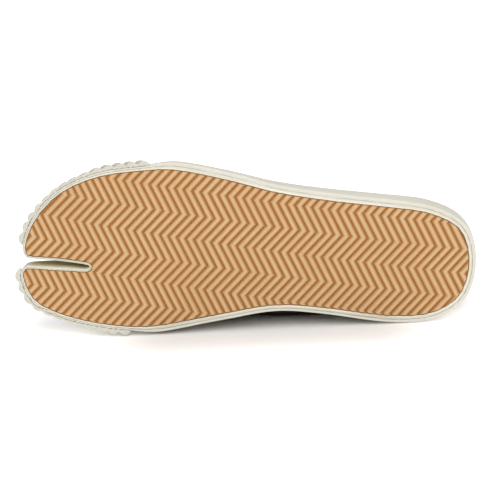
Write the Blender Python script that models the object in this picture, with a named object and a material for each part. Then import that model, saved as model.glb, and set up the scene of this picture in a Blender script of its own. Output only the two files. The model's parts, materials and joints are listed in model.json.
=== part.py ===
"""A left split-toe sneaker lying on its inner side: gum tread, rubber sole and walls, hollow upper."""

import math
from collections import namedtuple

import bmesh
import bpy
import numpy as np
from mathutils import Matrix, Vector
from mathutils.geometry import intersect_ray_tri

# All sizes are millimetres. The shoe is drawn standing: x runs from the toes to the heel, y to the
# inner side of the foot, z up from the floor. At the end it is laid on its inner side.
MM = 0.001
SEAT_GAP = 0.3

# The tread's edge, going round from the back of the heel along the outer side to the toes, into the
# toe slot and out again, round the big toe and back along the inner side.
EdgeRow = namedtuple("EdgeRow", "place x y")
EDGE = (
    EdgeRow("heel back", 271.0, 4.5),
    EdgeRow("heel outer corner", 265.6, -14.8),
    EdgeRow("heel outer", 248.0, -24.6),
    EdgeRow("heel front outer", 222.0, -28.6),
    EdgeRow("waist outer", 190.0, -32.1),
    EdgeRow("waist front outer", 155.0, -37.5),
    EdgeRow("ball back outer", 125.0, -45.2),
    EdgeRow("ball outer", 94.0, -51.0),
    EdgeRow("bumper end outer", 78.0, -50.6),
    EdgeRow("little toe", 48.0, -46.2),
    EdgeRow("outer toes", 25.0, -35.4),
    EdgeRow("outer toe corner", 10.5, -19.5),
    EdgeRow("outer tip", 4.6, -5.1),
    EdgeRow("slot corner outer", 5.2, 1.0),
    EdgeRow("slot mouth outer", 7.8, 1.9),
    EdgeRow("slot outer", 20.0, 2.4),
    EdgeRow("slot outer back", 33.0, 3.6),
    EdgeRow("slot root outer", 41.6, 4.8),
    EdgeRow("slot root outer turn", 44.2, 5.8),
    EdgeRow("slot root", 45.1, 7.7),
    EdgeRow("slot root inner turn", 44.2, 9.7),
    EdgeRow("slot root inner", 41.6, 10.8),
    EdgeRow("slot inner back", 33.0, 10.5),
    EdgeRow("slot inner", 20.0, 10.2),
    EdgeRow("slot mouth inner", 7.2, 9.7),
    EdgeRow("slot corner inner", 4.1, 10.4),
    EdgeRow("inner tip", 2.8, 14.6),
    EdgeRow("big toe corner", 9.0, 28.2),
    EdgeRow("big toe", 22.0, 35.4),
    EdgeRow("ball front inner", 45.0, 41.3),
    EdgeRow("bumper end inner", 70.0, 43.8),
    EdgeRow("ball inner", 84.0, 43.2),
    EdgeRow("waist front inner", 122.0, 36.0),
    EdgeRow("arch", 157.0, 30.3),
    EdgeRow("waist back inner", 190.0, 32.8),
    EdgeRow("heel inner", 224.0, 37.1),
    EdgeRow("heel back inner", 250.0, 34.8),
    EdgeRow("heel inner corner", 265.6, 24.2),
)
EDGE_STEPS = 40
ROW = {row.place: index for index, row in enumerate(EDGE)}

# Widths of the sole's rim and of the side tape, the tape's top above the floor, how far the wall
# bulges outwards half-way up, how far the upper swells out above the tape, and how far the wall has
# drawn inwards at the tape's top. The smaller the belly's sag, the lower its fullest place, and its
# rows of points are set lower to follow it.
WallRow = namedtuple("WallRow", "place rim tape top bulge belly draft")
WALL = (
    WallRow("heel back", 2.1, 1.7, 25.0, 2.8, 0.0, 0.0),
    WallRow("heel front outer", 2.4, 2.0, 22.5, 1.2, 0.0, 0.0),
    WallRow("waist outer", 2.4, 2.0, 21.5, 1.0, 0.0, 0.0),
    WallRow("ball outer", 2.4, 2.0, 20.5, 0.0, 0.0, 0.5),
    WallRow("bumper end outer", 1.5, 1.0, 20.0, 0.0, 0.0, 0.5),
    WallRow("outer tip", 1.0, 0.8, 19.0, 0.0, 0.0, 0.0),
    WallRow("slot mouth outer", 0.7, 0.8, 19.0, 0.0, 0.0, 0.0),
    WallRow("slot outer", 0.7, 0.8, 19.0, 1.0, 0.0, 0.0),
    WallRow("slot root", 0.7, 0.8, 19.0, 1.2, 0.0, 0.0),
    WallRow("slot inner", 0.7, 0.8, 19.0, 2.6, 0.0, 0.0),
    WallRow("slot mouth inner", 0.7, 0.8, 19.0, 0.6, 0.0, 0.0),
    WallRow("inner tip", 1.0, 0.8, 19.0, 0.0, 0.0, 0.0),
    WallRow("ball front inner", 1.2, 0.9, 19.0, 0.0, 0.0, 1.2),
    WallRow("bumper end inner", 1.3, 0.9, 19.0, 0.0, 0.0, 1.5),
    WallRow("ball inner", 2.2, 1.4, 19.0, 0.0, 0.0, 2.0),
    WallRow("waist front inner", 2.2, 1.4, 18.0, 0.0, 9.6, 2.0),
    WallRow("arch", 2.2, 1.4, 16.5, 0.0, 12.7, 1.9),
    WallRow("waist back inner", 2.2, 1.4, 17.0, 0.0, 8.0, 2.05),
    WallRow("heel inner", 2.2, 1.4, 20.5, 0.0, 1.2, 3.0),
    WallRow("heel inner corner", 2.2, 1.6, 23.5, 1.2, 0.0, 1.5),
)
BULGE_SPAN = 60.0
BELLY_SPAN = 36.0
BELLY_SAG = 0.5
BELLY_ROWS_LOW = 0.04

# The crown of the last: where the two sides of the upper meet, with its height above the floor and
# how square the section is. It forks towards the two toe lobes. Behind the throat it is open, and the
# rows there only shape the sides below the collar.
CrownRow = namedtuple("CrownRow", "x y height square")
CROWN_BACK = (
    CrownRow(78.0, -2.0, 51.0, 2.3),
    CrownRow(100.0, -1.0, 59.0, 2.2),
    CrownRow(118.0, 0.0, 67.0, 2.15),
    CrownRow(130.0, 1.0, 74.0, 2.1),
    CrownRow(152.0, 2.0, 87.0, 2.1),
    CrownRow(185.0, 3.0, 100.0, 2.2),
    CrownRow(236.0, 4.0, 110.0, 2.3),
)
CROWN_OUTER = (
    CrownRow(21.0, -17.0, 36.5, 2.4),
    CrownRow(40.0, -20.0, 40.5, 2.4),
    CrownRow(60.0, -14.0, 45.5, 2.35),
)
CROWN_INNER = (
    CrownRow(21.0, 22.5, 37.5, 2.4),
    CrownRow(40.0, 25.0, 41.5, 2.4),
    CrownRow(60.0, 15.0, 46.0, 2.35),
)
TOE_POLE_X = CROWN_OUTER[0].x
FORK_X = CROWN_BACK[0].x
HEEL_POLE_X = CROWN_BACK[-1].x

# The collar's edge, from the throat back to the heel.
CollarRow = namedtuple("CollarRow", "x height")
COLLAR = (
    CollarRow(130.0, 74.0),
    CollarRow(137.0, 72.5),
    CollarRow(143.0, 69.7),
    CollarRow(152.0, 66.2),
    CollarRow(164.0, 62.8),
    CollarRow(178.0, 60.4),
    CollarRow(195.0, 59.5),
    CollarRow(216.0, 61.0),
    CollarRow(245.0, 66.5),
    CollarRow(276.0, 72.0),
)
THROAT_X = COLLAR[0].x

# Heights of the layers above the floor.
TREAD_TOP = 3.3
RIM_BOTTOM = 0.4
RIM_CHAMFER = 0.5
RIM_FLAT_SHARE = 0.7
RECESS_TOP = TREAD_TOP + SEAT_GAP
BOARD_TOP = 6.0
UPPER_GAP = 0.7
FEATHER = BOARD_TOP + UPPER_GAP
INSOLE_BOTTOM = BOARD_TOP + SEAT_GAP
INSOLE_TOP = 9.3
INSOLE_CLEARANCE = 0.5
UPPER_WALL = 2.2
TAPE_BOTTOM = 0.9
TAPE_CHAMFER = 0.6
TAPE_FLAT_SHARE = 0.5
TOE_SPRING = 9.0
SPRING_START_X = 80.0
SPRING_CUTS = 8

# Herringbone of the tread: rows of chevrons run along the foot, turned a little to the inner side and
# slightly bowed.
GROOVE_DEPTH = 1.7
GROOVE_MOUTH = 2.1
GROOVE_FLOOR = 1.3
CHEVRON_PITCH = 5.145
CHEVRON_WAVE = 29.0
CHEVRON_REACH = 10.2
CHEVRON_TURN = math.radians(8.2)
CHEVRON_POINT = (135.3, 24.5)
CHEVRON_BOW = 0.000139
CHEVRON_BOW_X = 119.0
SPARE_ROWS = 6

# Ribbed strips on the toes: slanted round ribs on a thin base, over the side tape.
RIB_PITCH = 6.8
RIB_STEPS = 4
RIB_HEIGHT = 1.7
RIB_SLANT = 0.27
STRIP_GAP = 0.4
STRIP_BASE = 1.0
STRIP_BOTTOM = 0.9
STRIP_TOP = 17.5
STRIP_CHAMFER = 0.8
STRIP_ROUND_SHARE = 0.6
OUTER_STRIP_START = ROW["bumper end outer"]
OUTER_STRIP_END = ROW["outer tip"] + 0.3
INNER_STRIP_START = ROW["inner tip"] - 0.25
INNER_STRIP_END = ROW["bumper end inner"]

# Looks of the materials.
GUM_COLOUR = (0.70, 0.44, 0.20)
IVORY_COLOUR = (0.78, 0.75, 0.65)
BLACK_COLOUR = (0.02, 0.02, 0.022)
FOOTBED_COLOUR = (0.45, 0.42, 0.36)
RUBBER_SMOOTH = 40.0
TREAD_SMOOTH = 20.0
UPPER_SMOOTH = 60.0
RUBBER_ROUGHNESS = 0.5
LEATHER_ROUGHNESS = 0.45
FOOTBED_ROUGHNESS = 0.9

# Weight of the materials, grams per cubic millimetre, for finding how the shoe balances, and the
# steepest lean at which it still lies on its side.
RUBBER_WEIGHT = 0.0012
FOAM_WEIGHT = 0.0003
LEATHER_WEIGHT = 0.0009
STEEPEST_LEAN = math.radians(15.0)


def clear_scene():
    for old in list(bpy.data.objects):
        bpy.data.objects.remove(old, do_unlink=True)


def smooth_rows(rows, x):
    """Values of every column of a table at x, on a smooth curve through its rows."""
    table = np.array(rows)
    stations = table[:, 0]
    slopes = np.gradient(table, stations, axis=0)
    x = min(max(x, stations[0]), stations[-1])
    left = min(int(np.searchsorted(stations, x, side="right")) - 1, len(stations) - 2)
    width = stations[left + 1] - stations[left]
    t = (x - stations[left]) / width
    start = table[left] * (1 + 2 * t) * (1 - t) ** 2 + slopes[left] * width * t * (1 - t) ** 2
    end = table[left + 1] * (3 - 2 * t) * t ** 2 + slopes[left + 1] * width * t ** 2 * (t - 1)
    return start + end


def toe_spring(x):
    """How far the sole has risen off the floor at x."""
    forward = max(0.0, SPRING_START_X - x) / SPRING_START_X
    return TOE_SPRING * forward ** 2


def closed_curve(points, steps):
    """A smooth closed curve through points, with its samples spread evenly over each span."""
    points = np.array(points, float)
    count = len(points)
    samples = []
    for index in range(count):
        a, b, c, d = (points[(index + shift) % count] for shift in (-1, 0, 1, 2))
        knots = np.cumsum([0.0] + [math.sqrt(np.linalg.norm(q - p)) for p, q in ((a, b), (b, c), (c, d))])
        for t in np.linspace(knots[1], knots[2], steps, endpoint=False):
            ab = a + (b - a) * (t - knots[0]) / (knots[1] - knots[0])
            bc = b + (c - b) * (t - knots[1]) / (knots[2] - knots[1])
            cd = c + (d - c) * (t - knots[2]) / (knots[3] - knots[2])
            abc = ab + (bc - ab) * (t - knots[0]) / (knots[2] - knots[0])
            bcd = bc + (cd - bc) * (t - knots[1]) / (knots[3] - knots[1])
            samples.append(abc + (bcd - abc) * (t - knots[1]) / (knots[2] - knots[1]))
    samples.append(samples[0])
    return np.array(samples)


# The edge as fine samples. A place on it is a number: the row it passed last, and the share of the
# way to the next row.
EDGE_XY = closed_curve([(row.x, row.y) for row in EDGE], EDGE_STEPS)
EDGE_PLACE = np.arange(len(EDGE_XY)) / EDGE_STEPS
EDGE_RUN = np.concatenate(([0.0], np.cumsum(np.linalg.norm(np.diff(EDGE_XY, axis=0), axis=1))))
EDGE_TANGENT = np.roll(EDGE_XY[:-1], -1, axis=0) - np.roll(EDGE_XY[:-1], 1, axis=0)
EDGE_TANGENT = np.vstack((EDGE_TANGENT, EDGE_TANGENT[:1]))
WALL_PLACE = [ROW[row.place] for row in WALL] + [len(EDGE)]

Column = namedtuple("Column", "edge normal rim tape top bulge belly draft crown")


def place_at_x(first, last, x):
    """The place between two rows where the edge passes x."""
    low = ROW[first] * EDGE_STEPS
    high = (ROW[last] or len(EDGE)) * EDGE_STEPS
    stretch_x = EDGE_XY[low:high + 1, 0]
    places = EDGE_PLACE[low:high + 1]
    order = np.argsort(stretch_x)
    return float(np.interp(x, stretch_x[order], places[order]))


def crown_row(outer, x):
    """The crown at x, on the outer or the inner branch."""
    if x >= FORK_X:
        return CrownRow(*smooth_rows(CROWN_BACK, x))
    branch = CROWN_OUTER if outer else CROWN_INNER
    return CrownRow(*smooth_rows(branch + CROWN_BACK[:2], x))


def crown_above(place):
    """The point of the crown that the wall at a place on the edge rises to."""
    x = float(np.interp(place, EDGE_PLACE, EDGE_XY[:, 0]))
    if ROW["outer tip"] < place < ROW["inner tip"]:
        share = max(0.0, x - TOE_POLE_X) / (EDGE[ROW["slot root"]].x - TOE_POLE_X)
        x = TOE_POLE_X + share * (FORK_X - TOE_POLE_X)
    outer = place < ROW["slot root"]
    return crown_row(outer, min(max(x, TOE_POLE_X), HEEL_POLE_X))


def column(place, crown=None):
    """All that the wall needs at one place on the edge."""
    edge = np.array([np.interp(place, EDGE_PLACE, EDGE_XY[:, axis]) for axis in (0, 1)])
    tangent = np.array([np.interp(place, EDGE_PLACE, EDGE_TANGENT[:, axis]) for axis in (0, 1)])
    normal = np.array((-tangent[1], tangent[0])) / np.linalg.norm(tangent)
    sizes = [
        float(np.interp(place, WALL_PLACE, [row[size] for row in WALL + WALL[:1]]))
        for size in range(1, len(WallRow._fields))
    ]
    return Column(edge, normal, *sizes, crown or crown_above(place))


def wall_plan(col, height, out):
    """Where the upper's outer face passes a height, seen from above and pushed outwards by out."""
    rise = min(max(height - FEATHER, 0.0) / (col.crown.height - FEATHER), 1.0)
    lean = 1.0 - (1.0 - rise ** col.crown.square) ** (1.0 / col.crown.square)
    swell = col.bulge * math.sin(math.pi * min(max(height / BULGE_SPAN, 0.0), 1.0))
    belly_rise = min(max((height - col.top) / BELLY_SPAN, 0.0), 1.0)
    swell += col.belly * math.sin(math.pi * belly_rise ** BELLY_SAG)
    drawn = col.draft * min(max((height - FEATHER) / (col.top - FEATHER), 0.0), 1.0)
    board_edge = col.edge + col.normal * col.rim
    plan = board_edge + (np.array((col.crown.x, col.crown.y)) - board_edge) * lean
    return plan + col.normal * ((swell - drawn) * (1.0 - lean) + out)


def wall_point(col, height, out=0.0):
    """A point of the wall, lifted by the toe spring."""
    plan = wall_plan(col, height, out)
    return (plan[0], plan[1], height + toe_spring(plan[0]))


# Sections of the upper: stations along the crown, from the heel to the toes, and the number of walls
# that fan round each end and round the root of the slot.
STATIONS = (236.0, 222.0, 207.0, 192.0, 178.0, 164.0, 152.0, 143.0, 137.0, 133.0, THROAT_X,
            121.0, 112.0, 103.0, 94.0, 86.0, FORK_X, 69.0, 60.0, 51.0, 42.0, 34.0, 27.0, TOE_POLE_X)
TIP_FAN = 9
ROOT_FAN = 5
HEEL_FAN = 14


def fan(first, last, count):
    """Places spread evenly between two places on the edge, without those two."""
    return [first + (last - first) * step / (count + 1) for step in range(1, count + 1)]


def wall_columns():
    """The ring of walls, each with the crown it rises to, so that both sides meet on the crown."""
    toe_stations = [x for x in STATIONS if x < FORK_X]
    slot_share = (EDGE[ROW["slot root"]].x - TOE_POLE_X) / (FORK_X - TOE_POLE_X)
    outer_side = [place_at_x("heel back", "outer tip", x) for x in STATIONS]
    inner_side = [place_at_x("inner tip", "heel back", x) for x in STATIONS]
    slot_x = [TOE_POLE_X + (x - TOE_POLE_X) * slot_share for x in toe_stations]
    outer_slot = [place_at_x("outer tip", "slot root", x) for x in slot_x]
    inner_slot = [place_at_x("slot root", "inner tip", x) for x in slot_x]
    outer_crowns = [crown_row(True, x) for x in STATIONS]
    inner_crowns = [crown_row(False, x) for x in STATIONS]
    slot_start = len(STATIONS) - len(toe_stations)
    ring = list(zip(outer_side, outer_crowns))
    ring += [(place, outer_crowns[-1]) for place in fan(outer_side[-1], outer_slot[-1], TIP_FAN)]
    ring += list(zip(outer_slot, outer_crowns[slot_start:]))[::-1]
    ring += [(place, CROWN_BACK[0]) for place in fan(outer_slot[0], inner_slot[0], ROOT_FAN)]
    ring += list(zip(inner_slot, inner_crowns[slot_start:]))
    ring += [(place, inner_crowns[-1]) for place in fan(inner_slot[-1], inner_side[-1], TIP_FAN)]
    ring += list(zip(inner_side, inner_crowns))[::-1]
    heel_end = outer_side[0] + len(EDGE)
    ring += [(place % len(EDGE), CROWN_BACK[-1]) for place in fan(inner_side[0], heel_end, HEEL_FAN)]
    return [column(place, crown) for place, crown in ring]


COLUMNS = wall_columns()


def tape_heights(col):
    """The heights at which upper, tape and strips share the wall's section."""
    return (FEATHER, (FEATHER + col.top) / 2, col.top)


def new_piece(name, mesh, colour, roughness, smooth_angle=RUBBER_SMOOTH):
    """An object for a sub-part, with its own material."""
    mesh.shade_smooth()
    mesh.set_sharp_from_angle(angle=math.radians(smooth_angle))
    piece = bpy.data.objects.new(name, mesh)
    bpy.context.scene.collection.objects.link(piece)
    material = bpy.data.materials.new(name)
    material.use_nodes = True
    shader = material.node_tree.nodes["Principled BSDF"]
    shader.inputs["Base Color"].default_value = (*colour, 1.0)
    shader.inputs["Roughness"].default_value = roughness
    mesh.materials.append(material)
    return piece


def finished_mesh(name, bm):
    """A mesh in metres from a closed shape drawn in millimetres."""
    bmesh.ops.recalc_face_normals(bm, faces=bm.faces)
    bm.transform(Matrix.Scale(MM, 4))
    mesh = bpy.data.meshes.new(name)
    bm.to_mesh(mesh)
    bm.free()
    return mesh


def loft(bm, rings, closed):
    """Bridge sections of equal point count, round in a ring or with a cap at each end."""
    rows = [[bm.verts.new(point) for point in ring] for ring in rings]
    following = rows[1:] + rows[:1] if closed else rows[1:]
    for row, after in zip(rows, following):
        for index in range(len(row)):
            other = (index + 1) % len(row)
            bm.faces.new((row[index], row[other], after[other], after[index]))
    if not closed:
        bm.faces.new(rows[0][::-1])
        bm.faces.new(rows[-1])


def outline(out, height):
    """A level loop round the sole, pushed outwards from the tread's edge by out."""
    return [(*(col.edge + col.normal * out(col)), height) for col in COLUMNS]


def spring_toes(bm, cut_faces):
    """Cut wide flat faces across the toes, then lift every point by the toe spring."""
    faces = set(cut_faces)
    for x in np.linspace(0.0, SPRING_START_X, SPRING_CUTS + 1)[1:]:
        around = {part for face in faces for part in (*face.verts, *face.edges, face)}
        result = bmesh.ops.bisect_plane(bm, geom=list(around), plane_co=(x, 0, 0), plane_no=(1, 0, 0))
        faces |= {part for part in result["geom"] if isinstance(part, bmesh.types.BMFace)}
        faces = {face for face in faces if face.is_valid}
    for vert in bm.verts:
        vert.co.z += toe_spring(vert.co.x)


def caps_of(bm, count):
    """The faces with the most points: the flat top and bottom of a board."""
    return sorted(bm.faces, key=lambda face: -len(face.verts))[:count]


# Gum tread: a flat panel with herringbone grooves cut into its underside.
def chevron_to_plan(along, across):
    cos, sin = math.cos(CHEVRON_TURN), math.sin(CHEVRON_TURN)
    x = CHEVRON_POINT[0] + along * cos - across * sin
    y = CHEVRON_POINT[1] + along * sin + across * cos
    return (x, y - CHEVRON_BOW * (x - CHEVRON_BOW_X) ** 2)


def groove_rings(row):
    """Sections of one zigzag groove, at every turn of the zigzag."""
    turns = math.ceil(EDGE_XY[:, 0].max() / CHEVRON_WAVE)
    draft = (GROOVE_MOUTH - GROOVE_FLOOR) / GROOVE_DEPTH
    rings = []
    for turn in range(-turns, turns + 1):
        along = (row + 0.5) * CHEVRON_PITCH + (CHEVRON_REACH if turn % 2 else 0.0)
        across = turn * CHEVRON_WAVE / 2
        mouth = (GROOVE_MOUTH + draft * TREAD_TOP) / 2
        floor = GROOVE_FLOOR / 2
        section = ((-mouth, -TREAD_TOP), (mouth, -TREAD_TOP), (floor, GROOVE_DEPTH), (-floor, GROOVE_DEPTH))
        rings.append([(*chevron_to_plan(along + side, across), height) for side, height in section])
    return rings


def make_outsole():
    panel = bmesh.new()
    loft(panel, [outline(lambda col: 0.0, height) for height in (0.0, TREAD_TOP)], closed=False)
    bmesh.ops.recalc_face_normals(panel, faces=panel.faces)
    panel_mesh = bpy.data.meshes.new("panel")
    panel.to_mesh(panel_mesh)
    grooves = bmesh.new()
    reach = math.ceil(EDGE_XY[:, 0].max() / 2 / CHEVRON_PITCH) + SPARE_ROWS
    for row in range(-reach, reach + 1):
        loft(grooves, groove_rings(row), closed=False)
    bmesh.ops.recalc_face_normals(grooves, faces=grooves.faces)
    groove_mesh = bpy.data.meshes.new("grooves")
    grooves.to_mesh(groove_mesh)
    blank = bpy.data.objects.new("panel", panel_mesh)
    cutter = bpy.data.objects.new("grooves", groove_mesh)
    for guide in (blank, cutter):
        bpy.context.scene.collection.objects.link(guide)
    cut = blank.modifiers.new("herringbone", "BOOLEAN")
    cut.object = cutter
    cut.operation = "DIFFERENCE"
    depsgraph = bpy.context.evaluated_depsgraph_get()
    bm = bmesh.new()
    bm.from_mesh(bpy.data.meshes.new_from_object(blank.evaluated_get(depsgraph)))
    for guide in (blank, cutter):
        bpy.data.objects.remove(guide, do_unlink=True)
    spring_toes(bm, caps_of(bm, 1))
    return new_piece("outsole", finished_mesh("outsole", bm), GUM_COLOUR, RUBBER_ROUGHNESS, TREAD_SMOOTH)


# Ivory sole board: its rim goes round the tread, and the upper stands on its edge.
def make_midsole():
    bm = bmesh.new()
    loops = (
        outline(lambda col: col.rim, BOARD_TOP),
        outline(lambda col: col.rim, RIM_BOTTOM + RIM_CHAMFER),
        outline(lambda col: SEAT_GAP + (col.rim - SEAT_GAP) * RIM_FLAT_SHARE, RIM_BOTTOM),
        outline(lambda col: SEAT_GAP, RIM_BOTTOM),
        outline(lambda col: SEAT_GAP, RECESS_TOP),
    )
    loft(bm, loops, closed=False)
    spring_toes(bm, caps_of(bm, 2))
    return new_piece("midsole", finished_mesh("midsole", bm), IVORY_COLOUR, RUBBER_ROUGHNESS)


# Side tape: a rubber strip glued round the board's edge and the foot of the upper.
def make_foxing():
    rings = []
    for col in COLUMNS:
        low, middle, top = tape_heights(col)
        inner = SEAT_GAP
        outer = SEAT_GAP + col.tape
        flat = SEAT_GAP + col.tape * TAPE_FLAT_SHARE
        section = [(TAPE_BOTTOM, inner), (low, inner), (middle, inner), (top, inner)]
        section += [(top, flat), (top - TAPE_CHAMFER, outer), (middle, outer)]
        section += [(TAPE_BOTTOM + TAPE_CHAMFER, outer), (TAPE_BOTTOM, flat)]
        rings.append([wall_point(col, height, out) for height, out in section])
    bm = bmesh.new()
    loft(bm, rings, closed=True)
    return new_piece("foxing", finished_mesh("foxing", bm), IVORY_COLOUR, RUBBER_ROUGHNESS)


# Ribbed toe strips: one round the outer toes, one round the big toe, both glued over the tape.
def make_bumper(name, first, last):
    start, end = (float(np.interp(place, EDGE_PLACE, EDGE_RUN)) for place in (first, last))
    ribs = round((end - start) / RIB_PITCH)
    rings = []
    for step in range(ribs * RIB_STEPS + 1):
        run = start + (end - start) * step / (ribs * RIB_STEPS)
        swell = RIB_HEIGHT * abs(math.sin(math.pi * step / RIB_STEPS))
        ring = []
        middle = (STRIP_BOTTOM + STRIP_TOP) / 2
        face = STRIP_BASE + swell
        flat = STRIP_BASE * STRIP_ROUND_SHARE
        rounding = swell * STRIP_ROUND_SHARE
        section = [(STRIP_BOTTOM, 0.0), (middle, 0.0), (STRIP_TOP, 0.0)]
        section += [(STRIP_TOP, flat), (STRIP_TOP - STRIP_CHAMFER - rounding, face)]
        section += [(STRIP_BOTTOM + STRIP_CHAMFER, face), (STRIP_BOTTOM, flat + rounding)]
        for height, proud in section:
            slid = run + RIB_SLANT * (height - middle)
            col = column(float(np.interp(slid, EDGE_RUN, EDGE_PLACE)))
            ring.append(wall_point(col, height, SEAT_GAP + col.tape + STRIP_GAP + proud))
        rings.append(ring)
    bm = bmesh.new()
    loft(bm, rings, closed=False)
    return new_piece(name, finished_mesh(name, bm), IVORY_COLOUR, RUBBER_ROUGHNESS)


# Upper: a sheet over the last with the split toe, open at the collar and underneath, then given the
# thickness of leather and lining on its inner side.
UPPER_ROWS = 7
THROAT_BLEND = 40.0
MEETING_DISTANCE = 0.05


def upper_heights(col):
    """Heights of one wall of the upper, from the board up to the crown or to the collar's edge."""
    span = col.crown.height - FEATHER
    end = col.crown.height
    behind_throat = max(0.0, col.edge[0] - THROAT_X)
    if behind_throat > SEAT_GAP:
        end = smooth_rows(COLLAR, col.edge[0])[1]
    first, last = (
        math.asin(min(1.0, (height - FEATHER) / span) ** (col.crown.square / 2)) for height in (col.top, end)
    )
    closing = max(0.0, 1.0 - behind_throat / THROAT_BLEND)
    shares = np.linspace(0.0, 1.0, UPPER_ROWS)[1:] ** (1.0 + BELLY_ROWS_LOW * col.belly)
    turns = first + (last + (math.pi / 2 - last) * closing - first) * shares
    above = [FEATHER + span * math.sin(min(turn, last)) ** (2 / col.crown.square) for turn in turns]
    return [*tape_heights(col), *above]


def make_upper():
    bm = bmesh.new()
    walls = []
    for col in COLUMNS:
        walls.append([bm.verts.new(wall_point(col, height)) for height in upper_heights(col)])
    for wall, after in zip(walls, walls[1:] + walls[:1]):
        for low in range(len(wall) - 1):
            bm.faces.new((wall[low], wall[low + 1], after[low + 1], after[low]))
    bmesh.ops.remove_doubles(bm, verts=bm.verts, dist=MEETING_DISTANCE)
    bm.transform(Matrix.Scale(MM, 4))
    mesh = bpy.data.meshes.new("upper")
    bm.to_mesh(mesh)
    bm.free()
    upper = new_piece("upper", mesh, BLACK_COLOUR, LEATHER_ROUGHNESS, UPPER_SMOOTH)
    wall = upper.modifiers.new("leather and lining", "SOLIDIFY")
    wall.thickness = UPPER_WALL * MM
    wall.offset = -1.0
    wall.use_even_offset = True
    return upper


# Insole: a thin footbed lying on the board inside the upper.
def make_insole():
    inset = -UPPER_WALL - INSOLE_CLEARANCE
    loops = [
        [(*wall_plan(col, height, inset), height) for col in COLUMNS]
        for height in (INSOLE_BOTTOM, INSOLE_TOP)
    ]
    bm = bmesh.new()
    loft(bm, loops, closed=False)
    spring_toes(bm, caps_of(bm, 2))
    return new_piece("insole", finished_mesh("insole", bm), FOOTBED_COLOUR, FOOTBED_ROUGHNESS)


def weighed(piece, weight):
    """A piece's points, its mass and its mass times its centre, as it is drawn standing."""
    depsgraph = bpy.context.evaluated_depsgraph_get()
    mesh = bpy.data.meshes.new_from_object(piece.evaluated_get(depsgraph))
    mesh.calc_loop_triangles()
    points = [vert.co.copy() for vert in mesh.vertices]
    mass = 0.0
    moment = Vector()
    for triangle in mesh.loop_triangles:
        a, b, c = (points[index] for index in triangle.vertices)
        share = a.dot(b.cross(c)) / 6 / MM ** 3 * weight
        mass += share
        moment += share * (a + b + c) / 4
    bpy.data.meshes.remove(mesh)
    return points, mass, moment


def lay_on_inner_side(pieces):
    """Turn the shoe about an empty so that it lies balanced on its inner side, in the floor's middle."""
    hull = bmesh.new()
    total = 0.0
    moment = Vector()
    for piece, weight in pieces:
        points, mass, part = weighed(piece, weight)
        total += mass
        moment += part
        for point in points:
            hull.verts.new(point)
    balance = moment / total
    bmesh.ops.convex_hull(hull, input=hull.verts)
    bmesh.ops.triangulate(hull, faces=hull.faces)
    hull.normal_update()
    under = [
        face for face in hull.faces
        if face.normal.y > math.cos(STEEPEST_LEAN)
        and intersect_ray_tri(*(vert.co for vert in face.verts), face.normal, balance) is not None
    ]
    down = max(under, key=lambda face: max(vert.co.z for vert in face.verts)).normal
    up = -down
    along = (Vector((1, 0, 0)) - up * up.x).normalized()
    turn = Matrix((along, up.cross(along), up))
    corners = np.array([turn @ vert.co for vert in hull.verts])
    hull.free()
    low, high = corners.min(axis=0), corners.max(axis=0)
    stand = bpy.data.objects.new("shoe_on_its_side", None)
    bpy.context.scene.collection.objects.link(stand)
    shift = Vector((-(low[0] + high[0]) / 2, -(low[1] + high[1]) / 2, -low[2]))
    stand.matrix_world = Matrix.Translation(shift) @ turn.to_4x4()
    for piece, _ in pieces:
        piece.parent = stand


clear_scene()
lay_on_inner_side((
    (make_outsole(), RUBBER_WEIGHT),
    (make_midsole(), RUBBER_WEIGHT),
    (make_foxing(), RUBBER_WEIGHT),
    (make_bumper("toe_bumper_outer", OUTER_STRIP_START, OUTER_STRIP_END), RUBBER_WEIGHT),
    (make_bumper("toe_bumper_inner", INNER_STRIP_START, INNER_STRIP_END), RUBBER_WEIGHT),
    (make_upper(), LEATHER_WEIGHT),
    (make_insole(), FOAM_WEIGHT),
))
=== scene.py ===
"""Looks of a left split-toe sneaker that lies on its inner side, with its tread towards the viewer."""

import json
import math

import bmesh
import bpy
import numpy as np
from mathutils import Matrix, Vector
from mathutils.bvhtree import BVHTree


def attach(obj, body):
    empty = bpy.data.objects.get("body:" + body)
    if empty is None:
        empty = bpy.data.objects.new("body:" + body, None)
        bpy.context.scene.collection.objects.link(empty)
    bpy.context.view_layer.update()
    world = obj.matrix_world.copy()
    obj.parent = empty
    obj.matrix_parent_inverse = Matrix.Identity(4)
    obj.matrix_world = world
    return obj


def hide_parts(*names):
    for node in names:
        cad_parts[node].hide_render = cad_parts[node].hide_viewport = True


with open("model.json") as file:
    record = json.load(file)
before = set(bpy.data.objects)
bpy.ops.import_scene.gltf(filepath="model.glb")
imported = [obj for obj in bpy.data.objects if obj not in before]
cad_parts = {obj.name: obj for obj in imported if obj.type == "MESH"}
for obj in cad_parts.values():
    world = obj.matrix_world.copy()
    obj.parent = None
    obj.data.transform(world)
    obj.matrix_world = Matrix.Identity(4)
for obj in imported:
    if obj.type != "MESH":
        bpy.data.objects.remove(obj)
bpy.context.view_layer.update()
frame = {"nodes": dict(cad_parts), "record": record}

# How the shoe lies. The footbed's mount gives the direction up through the sole and the place of one
# known point, so the shoe's own axes can be found: x from toes to heel, y to the inner side of the
# foot, z from the tread to the foot.
FOOTBED_MOUNT_IN_SHOE = Vector((0.215, 0.004, 0.0093))
footbed_mount = next(mount for mount in frame["record"]["mounts"] if mount["name"] == "footbed")
shoe_z = Vector(footbed_mount["axis"]).normalized()
shoe_x = Vector((-shoe_z.z, 0.0, shoe_z.x)).normalized()
shoe_y = shoe_z.cross(shoe_x)
shoe_turn = Matrix((shoe_x, shoe_y, shoe_z)).transposed()
shoe_start = Vector(footbed_mount["pos_m"]) - shoe_turn @ FOOTBED_MOUNT_IN_SHOE
shoe_to_floor = Matrix.Translation(shoe_start) @ shoe_turn.to_4x4()
floor_to_shoe = shoe_to_floor.inverted()


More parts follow.
